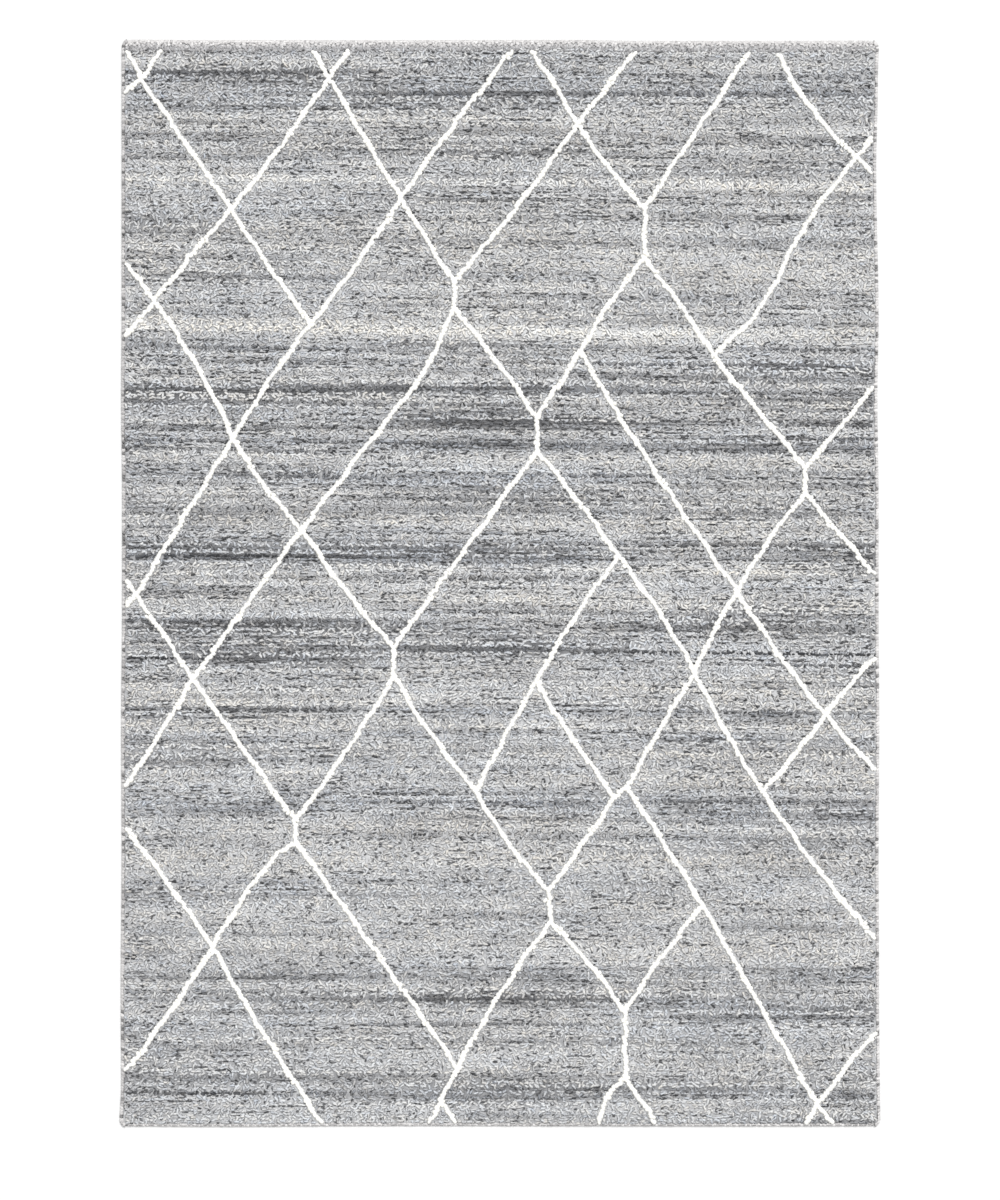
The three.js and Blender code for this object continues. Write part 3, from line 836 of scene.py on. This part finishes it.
# The turned ends


def rolled_hem(random, end):
    """The rolled edge of one end of the cloth, as one lumpy tube. end is 1 far and -1 near."""
    half = PANEL_HALF_WIDTH - HEM_INSET
    x = np.linspace(-half, half, round(2 * half / HEM_STEP) + 1)
    y = np.full(len(x), end * (HALF_LENGTH - HEM_INSET))
    shown_x, shown_y = strayed(*rounded_corners(x, y))
    paths = np.stack([shown_x, shown_y, np.full(len(x), HEM_MIDDLE)], axis=1)[None]
    lumps = 1 + random.uniform(-0.1, 0.1, (1, len(x)))
    return tubes(paths, HEM_HALF_WIDTH * lumps, HEM_HALF_HEIGHT * lumps, EIGHT_SIDED)


def joined(parts):
    """Several results of tubes as one."""
    starts = np.cumsum([0, *(len(part[0]) for part in parts)])
    faces = [
        np.concatenate([group + start for group, start in zip(groups, starts)])
        for groups in zip(*(part[1] for part in parts))
    ]
    points, across, along = (np.concatenate([part[index] for part in parts]) for index in (0, 2, 3))
    return points, faces, across, along


def strip_loops(random, end, depth, tone):
    """Small loops of the backing yarn on one end's strip, which lie along the hem at its edge."""
    across = np.arange(-PANEL_HALF_WIDTH + 4, PANEL_HALF_WIDTH - 4, STRIP_LOOP_PITCH)
    x, inside = (a.ravel() for a in np.meshgrid(across, np.arange(2.4, depth, STRIP_ROW_PITCH)))
    count = len(x)
    x = x + random.uniform(-0.5, 0.5, count) * STRIP_LOOP_PITCH
    inside = np.maximum(inside + random.uniform(-0.4, 0.4, count) * STRIP_ROW_PITCH, 1.8)
    heading = random.normal(0, np.interp(inside, STRIP_SWING["inside"], STRIP_SWING["swing"]))
    turn = random.uniform(-1.6, 1.6, count)
    length = random.uniform(*STRIP_LOOP_LENGTH, count)
    plan = arcs(x, end * (HALF_LENGTH - inside), heading, turn, length)
    plan[:, :, 1] = end * np.minimum(end * plan[:, :, 1], HALF_LENGTH - EDGE_MARGIN)
    width = random.uniform(*STRIP_LOOP_WIDTH, count)
    top = pile_top(plan[:, :, 0], plan[:, :, 1]) + random.uniform(-0.2, 0.2, (count, 1))
    plan = np.stack(rounded_corners(plan[:, :, 0], plan[:, :, 1]), axis=2)
    shape = yarn_loops(plan, width, STRIP_HALF_HEIGHT, top, FIVE_SIDED)
    darker = np.interp(inside, STRIP_DARKENING["inside"], STRIP_DARKENING["tone"])
    tones = tone + darker + random.normal(0, STRIP_TONE_SPREAD, count)
    warmth = np.interp(inside, STRIP_COOLING["inside"], STRIP_COOLING["warmth"])
    return shape, tones, warmth


def turned_ends(material):
    """The ends of the cloth, each a rolled hem with small loops over it."""
    random = np.random.default_rng(51)
    made = []
    for name, (end, depth, tone, hem_tone) in ENDS.items():
        points, faces, across, _ = rolled_hem(random, end)
        still = 0 * across
        values = {"across": still, "along": still, "tone": still + hem_tone, "seed": across}
        made.append(make_object(f"turned_end_{name}", points, faces, material, values))
        shape, tones, warmth = strip_loops(random, end, depth, tone)
        made.append(yarn_object(f"{name}_strip", material, random, shape, tones, warmth=warmth))
    return made


# The overcast side bindings


def binding_run(spacing):
    """Places, headings and outward directions along the right binding, from corner to corner."""
    reach = PIECE_GAP + BINDING_WIDTH / 2
    radius = CORNER_RADIUS + reach
    middle_x, middle_y = PANEL_HALF_WIDTH - CORNER_RADIUS, HALF_LENGTH - CORNER_RADIUS
    arc, straight = radius * np.pi / 4, 2 * middle_y
    way = np.linspace(0, 2 * arc + straight, round((2 * arc + straight) / spacing) + 1)
    angle = np.minimum(way - arc, 0) / radius + np.maximum(way - arc - straight, 0) / radius
    outward = np.stack([np.cos(angle), np.sin(angle)], axis=1)
    y = np.clip(way - arc, 0, straight) - middle_y
    place = np.stack([np.full(len(way), middle_x), y], axis=1) + radius * outward
    heading = np.stack([-outward[:, 1], outward[:, 0]], axis=1)
    return place, heading, outward


def binding_stitches(random, tone):
    """Flat stitches side by side, from inside the rug's edge over the cord and down."""
    place, heading, outward = binding_run(STITCH_PITCH)
    count, steps = len(place), len(STITCH_SECTION["out"])
    place = place + heading * random.uniform(-STITCH_JITTER, STITCH_JITTER, count)[:, None]
    out, up = np.array(STITCH_SECTION["out"]), np.array(STITCH_SECTION["up"])
    out = out + random.uniform(-1, 1, (count, 1)) * np.array(STITCH_SECTION["uneven"])
    slant = random.uniform(*STITCH_SLANT, (count, 1)) * np.linspace(-0.5, 0.5, steps)
    plan = place[:, None] + outward[:, None] * out[..., None] + heading[:, None] * slant[..., None]
    height = np.repeat(up[None, :], count, 0) + random.uniform(-0.25, 0.25, (count, 1))
    paths = np.concatenate([plan, height[..., None]], axis=2)
    ahead = np.gradient(paths, axis=1)
    ahead /= np.linalg.norm(ahead, axis=2, keepdims=True)
    side = np.concatenate([-heading, np.zeros((count, 1))], axis=1)[:, None].repeat(steps, 1)
    above = np.cross(side, ahead)
    width = random.uniform(0.9, 1.06, (count, 1)) * np.array(STITCH_SECTION["half_width"])[None, :]
    thickness = np.full((count, steps), STITCH_HALF_THICKNESS)
    tones = random.normal(tone, 1.0, count)
    # Painted shade: some stitches are made darker and narrower, as the gaps between stitches
    dark = random.uniform(0, 1, count) < SHADED_STITCHES["share"]
    tones[dark] += SHADED_STITCHES["tone"]
    width[dark] *= SHADED_STITCHES["width"]
    return tubes(paths, width, thickness, FIVE_SIDED, (side, above)), tones


def binding_cord():
    """The cord under the stitches."""
    place, _, _ = binding_run(CORD_STEP)
    paths = np.concatenate([place, np.full((len(place), 1), BINDING_HEIGHT / 2)], axis=1)[None]
    half_width = np.full(paths.shape[:2], CORD_HALF_WIDTH)
    half_height = np.full(paths.shape[:2], CORD_HALF_HEIGHT)
    return tubes(paths, half_width, half_height, FIVE_SIDED)


def binding(name, side, material):
    """The overcast edge of one long side. side is 1 right and -1 left."""
    random = np.random.default_rng(61 + side)
    # The left binding's lower tone is painted shade
    stitches, tones = binding_stitches(random, STITCH_TONE_WITH_SHADE["left" if side < 0 else "right"])
    cord = binding_cord()
    points, faces, across, along = joined([stitches, cord])
    x, y = strayed(side * points[:, 0], points[:, 1])
    points = np.stack([x, y, points[:, 2]], axis=1)
    if side < 0:
        faces = [group[:, ::-1] for group in faces]
    each = len(stitches[0]) // len(tones)
    seeds = np.repeat(random.uniform(0, 100, len(tones)), each)
    values = {
        "across": across,
        "along": along,
        "tone": np.concatenate([np.repeat(tones, each), np.full(len(cord[0]), CORD_TONE)]),
        "seed": np.concatenate([seeds, np.zeros(len(cord[0]))]),
    }
    return make_object(name, points, faces, material, values)


# The cloth


def grid_lines(half, low_insets, high_insets):
    """Places of the cloth's grid lines from one edge to the other, closer together near the edges."""
    low, high = -half + low_insets[-1], half - high_insets[-1]
    middle = np.linspace(low, high, round((high - low) / CLOTH_CELL) + 1)
    return np.concatenate(
        [-half + np.array(low_insets[:-1]), middle, (half - np.array(high_insets[:-1]))[::-1]]
    )


def rounded_corners(x, y):
    """Draws the square corners of the plan in to round ones."""
    over_x = np.maximum(np.abs(x) - (PANEL_HALF_WIDTH - CORNER_RADIUS), 0)
    over_y = np.maximum(np.abs(y) - (HALF_LENGTH - CORNER_RADIUS), 0)
    longest = np.maximum(over_x, over_y)
    scale = longest / np.maximum(np.hypot(over_x, over_y), 1e-9)
    scale = np.where(longest > 0, scale, 1)
    return x + np.sign(x) * over_x * (scale - 1), y + np.sign(y) * over_y * (scale - 1)


def cloth(material):
    """The cloth that the loops stand in: one closed body with a flat underside."""
    columns = grid_lines(PANEL_HALF_WIDTH, SIDE_PROFILE["inside"], SIDE_PROFILE["inside"])
    rows = grid_lines(HALF_LENGTH, NEAR_PROFILE["inside"], FAR_PROFILE["inside"])
    x, y = (a.ravel() for a in np.meshgrid(columns, rows))
    z = pile_top(x, y) - CLOTH_SINK
    # Painted shade: the cloth is painted darker than the loops above it
    tone = band_tone(x, y) + CLOTH_SHADE_TONE
    x, y = strayed(*rounded_corners(x, y))
    top = np.stack([x, y, z], axis=1)
    wide, long = len(columns), len(rows)
    index = np.arange(wide * long).reshape(long, wide)
    quads = np.stack([index[:-1, :-1], index[:-1, 1:], index[1:, 1:], index[1:, :-1]], axis=2)
    rim = np.concatenate([index[0, :-1], index[:-1, -1], index[-1, :0:-1], index[:0:-1, 0]])
    waist, foot = top[rim].copy(), top[rim].copy()
    waist[:, 2] = FOOT_HEIGHT * 0.6
    foot[:, 2] = 0
    foot[:, 0] *= 1 - FOOT_INSET / PANEL_HALF_WIDTH
    foot[:, 1] *= 1 - FOOT_INSET / HALF_LENGTH
    points = np.concatenate([top, waist, foot])
    waist_index = len(top) + np.arange(len(rim))
    foot_index = waist_index + len(rim)
    rings = [rim, waist_index, foot_index]
    skirts = [
        np.stack([lower, np.roll(lower, -1), np.roll(upper, -1), upper], axis=1)
        for upper, lower in zip(rings, rings[1:])
    ]
    tones = np.concatenate([tone, tone[rim], tone[rim]])
    faces = [np.concatenate([quads.reshape(-1, 4), *skirts]), foot_index[::-1][None]]
    return make_object("cloth", points, faces, material, {"tone": tones})


# Materials


def linear(red, green, blue):
    """A colour given in sRGB from 0 to 255, as a shader takes it."""
    shares = np.array((red, green, blue)) / 255
    curved = np.where(shares <= 0.04045, shares / 12.92, ((shares + 0.055) / 1.055) ** 2.4)
    return (*curved.tolist(), 1.0)


def add_node(tree, kind, inputs=None, **settings):
    """A shader node. Each input gets a value, or the output that feeds it."""
    made = tree.nodes.new("ShaderNode" + kind)
    for name, value in settings.items():
        setattr(made, name, value)
    for key, value in (inputs or {}).items():
        if isinstance(value, bpy.types.NodeSocket):
            tree.links.new(value, made.inputs[key])
        else:
            made.inputs[key].default_value = value
    return made


def math(tree, operation, *values):
    made = add_node(tree, "Math", dict(enumerate(values)), operation=operation)
    return made.outputs[0]


def number(tree, name):
    """A point's own number, by its name."""
    return add_node(tree, "Attribute", attribute_name=name).outputs["Fac"]


def new_material(name, roughness, sheen):
    material = bpy.data.materials.new(name)
    material.use_nodes = True
    shader = material.node_tree.nodes["Principled BSDF"]
    shader.inputs["Roughness"].default_value = roughness
    shader.inputs["Specular IOR Level"].default_value = 0.15
    shader.inputs["Sheen Weight"].default_value = sheen
    shader.inputs["Sheen Roughness"].default_value = 0.5
    return material, material.node_tree, shader


def tone_colour(tree, tone, stops):
    """Colour by tone. stops are (tone, colour), from the darkest to the lightest."""
    low, high = stops[0][0], stops[-1][0]
    share = add_node(
        tree, "MapRange", {"Value": tone, "From Min": low, "From Max": high}
    ).outputs["Result"]
    ramp = add_node(tree, "ValToRGB", {"Fac": share})
    elements = ramp.color_ramp.elements
    while len(elements) < len(stops):
        elements.new(0.5)
    for element, (place, colour) in zip(elements, stops):
        element.position = (place - low) / (high - low)
        element.color = linear(*colour)
    return ramp.outputs["Color"]


def object_noise(tree, scale, detail=2):
    place = add_node(tree, "TexCoord").outputs["Object"]
    return add_node(
        tree, "TexNoise", {"Vector": place, "Scale": scale, "Detail": detail}
    ).outputs["Fac"]


def add_bump(tree, shader, height, depth):
    bump = add_node(tree, "Bump", {"Height": height, "Distance": depth * MM, "Strength": 1.0})
    tree.links.new(bump.outputs["Normal"], shader.inputs["Normal"])


def yarn_material(name, stops, ply_tones, heather_tones, fleck_tones, depth):
    """Twisted yarn: two plies that run along each loop, fibres dyed lighter and darker, and fuzz.

    fleck_tones are how much darker and how much lighter the short flecks in the yarn are.
    """
    material, tree, shader = new_material(name, 0.95, 0.25)
    across, along = number(tree, "across"), number(tree, "along")
    turns = math(tree, "ADD", across, math(tree, "MULTIPLY", along, YARN_TWIST))
    ply = math(tree, "COSINE", math(tree, "MULTIPLY", turns, 2 * np.pi))
    heather = object_noise(tree, HEATHER_SCALE)
    fibres = object_noise(tree, FIBRE_SCALE)
    tone = number(tree, "tone")
    layers = ((ply, 0, ply_tones), (heather, 0.5, heather_tones), (fibres, 0.5, FIBRE_TONES))
    for source, middle, amount in layers:
        shifted = math(tree, "SUBTRACT", source, middle)
        tone = math(tree, "ADD", tone, math(tree, "MULTIPLY", shifted, amount))
    place = {"X": math(tree, "MULTIPLY", along, 0.2), "Y": across, "Z": number(tree, "seed")}
    place = add_node(tree, "CombineXYZ", place).outputs[0]
    flecks = add_node(tree, "TexNoise", {"Vector": place, "Scale": 1.0, "Detail": 1}).outputs["Fac"]
    for limits, amount in zip(FLECK_LIMITS, fleck_tones):
        inputs = {"Value": flecks, "From Min": limits[0], "From Max": limits[1], "To Max": amount}
        tone = math(tree, "ADD", tone, add_node(tree, "MapRange", inputs).outputs["Result"])
    warmth = number(tree, "warmth")
    tint = {
        "X": math(tree, "MULTIPLY_ADD", warmth, WARM_TINT[0], 1.0),
        "Y": 1.0,
        "Z": math(tree, "MULTIPLY_ADD", warmth, WARM_TINT[1], 1.0),
    }
    tint = add_node(tree, "CombineXYZ", tint).outputs[0]
    colour = add_node(tree, "VectorMath", operation="MULTIPLY")
    tree.links.new(tone_colour(tree, tone, stops), colour.inputs[0])
    tree.links.new(tint, colour.inputs[1])
    tree.links.new(colour.outputs["Vector"], shader.inputs["Base Color"])
    height = math(tree, "ADD", math(tree, "MULTIPLY", ply, 0.3), fibres)
    add_bump(tree, shader, height, depth)
    return material


def grey_stops():
    rows = zip(*GREYS.values())
    return [(tone, (green + red, green, green + blue)) for tone, green, red, blue in rows]


def cloth_material():
    """The cloth deep between the loops, mottled with their roots. Its tone holds painted shade."""
    material, tree, shader = new_material("deep_wool", 1.0, 0.1)
    coarse = math(tree, "SUBTRACT", object_noise(tree, 160, 3), 0.5)
    tone = math(tree, "ADD", number(tree, "tone"), math(tree, "MULTIPLY", coarse, 12))
    tree.links.new(tone_colour(tree, tone, grey_stops()), shader.inputs["Base Color"])
    add_bump(tree, shader, coarse, 0.8)
    return material


# The stage


def add_floor():
    mesh = bpy.data.meshes.new("floor")
    half = FLOOR_HALF_SIZE
    corners = [(x * half, y * half, 0) for x, y in ((-1, -1), (1, -1), (1, 1), (-1, 1))]
    mesh.from_pydata(corners, [], [(0, 1, 2, 3)])
    material, _, shader = new_material("floor", 0.9, 0)
    shader.inputs["Base Color"].default_value = linear(*FLOOR_COLOUR)
    mesh.materials.append(material)
    floor = new_object("floor", mesh)


def add_light():
    world = bpy.data.worlds.new("studio")
    world.use_nodes = True
    background = world.node_tree.nodes["Background"]
    background.inputs["Color"].default_value = (1, 1, 1, 1)
    background.inputs["Strength"].default_value = WORLD_STRENGTH
    bpy.context.scene.world = world
    sun = bpy.data.lights.new("key", "SUN")
    sun.energy = SUN_STRENGTH
    sun.angle = np.radians(SUN_SPREAD)
    key = new_object("key", sun)
    key.rotation_euler = Vector(SUN_FROM).to_track_quat("Z", "Y").to_euler()


def add_camera():
    camera = bpy.data.cameras.new("camera")
    camera.lens = CAMERA_LENS
    camera.sensor_width = CAMERA_SENSOR
    seen_height = PHOTO_HEIGHT * PHOTO_MM_PER_PIXEL
    distance = seen_height * CAMERA_LENS / CAMERA_SENSOR
    placed = new_object("camera", camera)
    placed.location = Vector((*CAMERA_PLACE, distance + PILE_HEIGHT)) * MM
    bpy.context.scene.camera = placed


def main():
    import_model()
    bpy.context.scene.view_settings.view_transform = "Standard"
    add_floor()
    add_light()
    add_camera()
    grey = yarn_material("grey_wool", grey_stops(), 0.3, 8, (-10, 0.5), 0.35)
    ivory = yarn_material("ivory_wool", IVORIES, 0.3, 2, (0, 0), 0.4)
    overcast = yarn_material("overcast_yarn", OVERCASTS, 0.5, 3, (0, 0), 0.5)
    loops = pile(grey)
    lines = ivory_lines(ivory)
    ends = turned_ends(overcast)
    under = cloth(cloth_material())
    edges = {
        "side_binding_left": binding("overcast_left", -1, overcast),
        "side_binding_right": binding("overcast_right", 1, overcast),
    }
    for piece in (*loops, lines, *ends, under, *edges.values()):
        map_from_above(piece)
        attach(piece, "root")
    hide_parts("tufted_panel")
    for node, edge in edges.items():
        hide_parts(node)


main()
